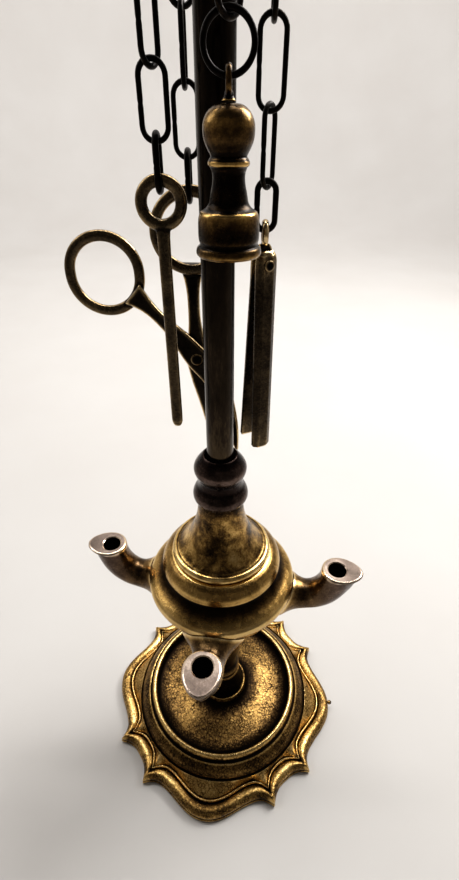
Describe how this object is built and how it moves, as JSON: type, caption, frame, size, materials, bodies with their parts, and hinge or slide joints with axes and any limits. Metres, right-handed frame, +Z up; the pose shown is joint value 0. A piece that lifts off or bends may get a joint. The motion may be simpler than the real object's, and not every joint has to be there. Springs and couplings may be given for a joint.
{
  "type": "oil lamp",
  "caption": "Antique-brass table oil lamp with a scalloped foot, wick spouts, a lid sliding on the rod, and a snuffer, pick, scissors and tweezers hung on chains.",
  "frame": {"origin": "centre of the foot on the surface that it stands on", "axes": "+Z up the rod; +X towards the right-hand spout; -Y towards the front, where the snuffer hangs"},
  "size_m": [0.1364, 0.1372, 0.4371],
  "materials": {
    "golden_brass": "aged golden brass with dark patina in its hollows, satin",
    "umber_brass": "dark purple-brown oxidised brass, satin",
    "tool_brass": "dark olive-brown brass, half polished on its edges",
    "chain_brass": "near-black oxidised brass wire"
  },
  "bodies": {
    "stand": {"foot": "golden_brass", "foot_washer": "umber_brass", "foot_nut": "umber_brass", "pedestal": "golden_brass", "rod": "tool_brass", "chain_wheel": "tool_brass", "finial": "golden_brass", "carry_ring": "golden_brass"},
    "font": {"font_bowl": "golden_brass", "spout_front": "golden_brass", "spout_right": "golden_brass", "spout_rear": "golden_brass", "spout_left": "golden_brass"},
    "lid": {"lid": "golden_brass", "lid_collar": "umber_brass"},
    "snuffer_link_1": {"snuffer_link_1": "chain_brass"},
    "snuffer_link_2": {"snuffer_link_2": "chain_brass"},
    "snuffer_ring": {"snuffer_ring": "chain_brass"},
    "snuffer": {"snuffer": "tool_brass", "snuffer_eye": "tool_brass"},
    "pick_link_1": {"pick_link_1": "chain_brass"},
    "pick_link_2": {"pick_link_2": "chain_brass"},
    "pick_link_3": {"pick_link_3": "chain_brass"},
    "pick_link_4": {"pick_link_4": "chain_brass"},
    "pick_end_link": {"pick_end_link": "chain_brass"},
    "pick": {"pick": "tool_brass"},
    "scissors_link_1": {"scissors_link_1": "chain_brass"},
    "scissors_link_2": {"scissors_link_2": "chain_brass"},
    "scissors_link_3": {"scissors_link_3": "chain_brass"},
    "scissors_link_4": {"scissors_link_4": "chain_brass"},
    "scissors_end_link": {"scissors_end_link": "chain_brass"},
    "scissors": {"scissor_blade_rear": "tool_brass", "scissor_rivet": "tool_brass"},
    "scissor_front_half": {"scissor_blade_front": "tool_brass"},
    "tweezers_link_1": {"tweezers_link_1": "chain_brass"},
    "tweezers_link_2": {"tweezers_link_2": "chain_brass"},
    "tweezers_link_3": {"tweezers_link_3": "chain_brass"},
    "tweezers_link_4": {"tweezers_link_4": "chain_brass"},
    "tweezers_end_link": {"tweezers_end_link": "chain_brass"},
    "tweezers": {"tweezer_eye": "tool_brass", "tweezer_rivet": "tool_brass"},
    "tweezer_front": {"tweezer_arm_front": "tool_brass"},
    "tweezer_rear": {"tweezer_arm_rear": "tool_brass"}
  },
  "joints": [
    {"name": "font_turn", "type": "hinge", "parent": "stand", "child": "font", "pos_m": [0, 0, 0.1], "axis": [0, 0, 1], "continuous": true},
    {"name": "lid_lift", "type": "slide", "parent": "font", "child": "lid", "axis": [0, 0, 1], "range_m": [0, 0.016]},
    {"name": "snuffer_link_1_swing", "type": "hinge", "parent": "stand", "child": "snuffer_link_1", "pos_m": [0.00371, -0.01608, 0.369], "axis": [-0.9744, -0.225, 0], "range_deg": [0, 25]},
    {"name": "snuffer_link_2_swing", "type": "hinge", "parent": "snuffer_link_1", "child": "snuffer_link_2", "pos_m": [0.00371, -0.01608, 0.34937], "axis": [0.225, -0.9744, 0], "range_deg": [-5, 5]},
    {"name": "snuffer_ring_swing", "type": "hinge", "parent": "snuffer_link_2", "child": "snuffer_ring", "pos_m": [0.00371, -0.01608, 0.3291], "axis": [-0.7071, -0.7071, 0], "range_deg": [0, 12]},
    {"name": "snuffer_swing", "type": "hinge", "parent": "snuffer_ring", "child": "snuffer", "pos_m": [0.00371, -0.01608, 0.31905], "axis": [-1, 0, 0], "range_deg": [0, 30]},
    {"name": "pick_link_1_swing", "type": "hinge", "parent": "stand", "child": "pick_link_1", "pos_m": [-0.01625, -0.00286, 0.369], "axis": [-0.1736, 0.9848, 0], "range_deg": [0, 25]},
    {"name": "pick_link_2_swing", "type": "hinge", "parent": "pick_link_1", "child": "pick_link_2", "pos_m": [-0.01625, -0.00286, 0.35373], "axis": [0.9848, 0.1736, 0], "range_deg": [-5, 5]},
    {"name": "pick_link_3_swing", "type": "hinge", "parent": "pick_link_2", "child": "pick_link_3", "pos_m": [-0.01625, -0.00286, 0.3378], "axis": [-0.4695, 0.8829, 0], "range_deg": [0, 12]},
    {"name": "pick_link_4_swing", "type": "hinge", "parent": "pick_link_3", "child": "pick_link_4", "pos_m": [-0.01625, -0.00286, 0.32188], "axis": [0.4695, 0.8829, 0], "range_deg": [0, 12]},
    {"name": "pick_end_link_swing", "type": "hinge", "parent": "pick_link_4", "child": "pick_end_link", "pos_m": [-0.01625, -0.00286, 0.30595], "axis": [-1, 0, 0], "range_deg": [-5, 5]},
    {"name": "pick_swing", "type": "hinge", "parent": "pick_end_link", "child": "pick", "pos_m": [-0.01625, -0.00286, 0.294], "axis": [0, 1, 0], "range_deg": [0, 30]},
    {"name": "scissors_link_1_swing", "type": "hinge", "parent": "stand", "child": "scissors_link_1", "pos_m": [-0.00935, 0.0136, 0.369], "axis": [0.8241, 0.5664, 0], "range_deg": [0, 25]},
    {"name": "scissors_link_2_swing", "type": "hinge", "parent": "scissors_link_1", "child": "scissors_link_2", "pos_m": [-0.00935, 0.0136, 0.35263], "axis": [-0.5592, 0.829, 0], "range_deg": [-5, 0.5]},
    {"name": "scissors_link_3_swing", "type": "hinge", "parent": "scissors_link_2", "child": "scissors_link_3", "pos_m": [-0.00935, 0.0136, 0.3356], "axis": [0.866, 0.5, 0], "range_deg": [0, 12]},
    {"name": "scissors_link_4_swing", "type": "hinge", "parent": "scissors_link_3", "child": "scissors_link_4", "pos_m": [-0.00935, 0.0136, 0.31857], "axis": [0, 1, 0], "range_deg": [0, 12]},
    {"name": "scissors_end_link_swing", "type": "hinge", "parent": "scissors_link_4", "child": "scissors_end_link", "pos_m": [-0.00935, 0.0136, 0.30155], "axis": [1, 0, 0], "range_deg": [0, 12]},
    {"name": "scissors_swing", "type": "hinge", "parent": "scissors_end_link", "child": "scissors", "pos_m": [-0.00935, 0.0136, 0.2896], "axis": [0, 1, 0], "range_deg": [0, 30]},
    {"name": "scissor_pivot", "type": "hinge", "parent": "scissors", "child": "scissor_front_half", "pos_m": [-0.009, 0.0136, 0.2352], "axis": [0, 1, 0], "range_deg": [-1.5, 6]},
    {"name": "tweezers_link_1_swing", "type": "hinge", "parent": "stand", "child": "tweezers_link_1", "pos_m": [0.01507, 0.00671, 0.369], "axis": [0.4067, -0.9135, 0], "range_deg": [0, 25]},
    {"name": "tweezers_link_2_swing", "type": "hinge", "parent": "tweezers_link_1", "child": "tweezers_link_2", "pos_m": [0.01507, 0.00671, 0.35078], "axis": [0.9135, 0.4067, 0], "range_deg": [-5, 0.5]},
    {"name": "tweezers_link_3_swing", "type": "hinge", "parent": "tweezers_link_2", "child": "tweezers_link_3", "pos_m": [0.01507, 0.00671, 0.3319], "axis": [0, -1, 0], "range_deg": [0, 12]},
    {"name": "tweezers_link_4_swing", "type": "hinge", "parent": "tweezers_link_3", "child": "tweezers_link_4", "pos_m": [0.01507, 0.00671, 0.31302], "axis": [1, 0, 0], "range_deg": [0, 12]},
    {"name": "tweezers_end_link_swing", "type": "hinge", "parent": "tweezers_link_4", "child": "tweezers_end_link", "pos_m": [0.01507, 0.00671, 0.29415], "axis": [-0.4695, -0.8829, 0], "range_deg": [0, 12]},
    {"name": "tweezers_swing", "type": "hinge", "parent": "tweezers_end_link", "child": "tweezers", "pos_m": [0.01507, 0.00671, 0.2822], "axis": [1, 0, 0], "range_deg": [0, 30]},
    {"name": "tweezer_front_squeeze", "type": "hinge", "parent": "tweezers", "child": "tweezer_front", "pos_m": [0.0155, 0.00581, 0.272], "axis": [0.9026, 0.4305, 0], "range_deg": [0, 3.1], "stiffness_Nm_per_rad": 0.05},
    {"name": "tweezer_rear_squeeze", "type": "hinge", "parent": "tweezers", "child": "tweezer_rear", "pos_m": [0.01464, 0.00761, 0.272], "axis": [-0.9026, -0.4305, 0], "range_deg": [0, 3.1], "stiffness_Nm_per_rad": 0.05}
  ],
  "couplings": [
    {"joint": "tweezer_rear_squeeze", "follows": "tweezer_front_squeeze", "ratio": 1}
  ]
}
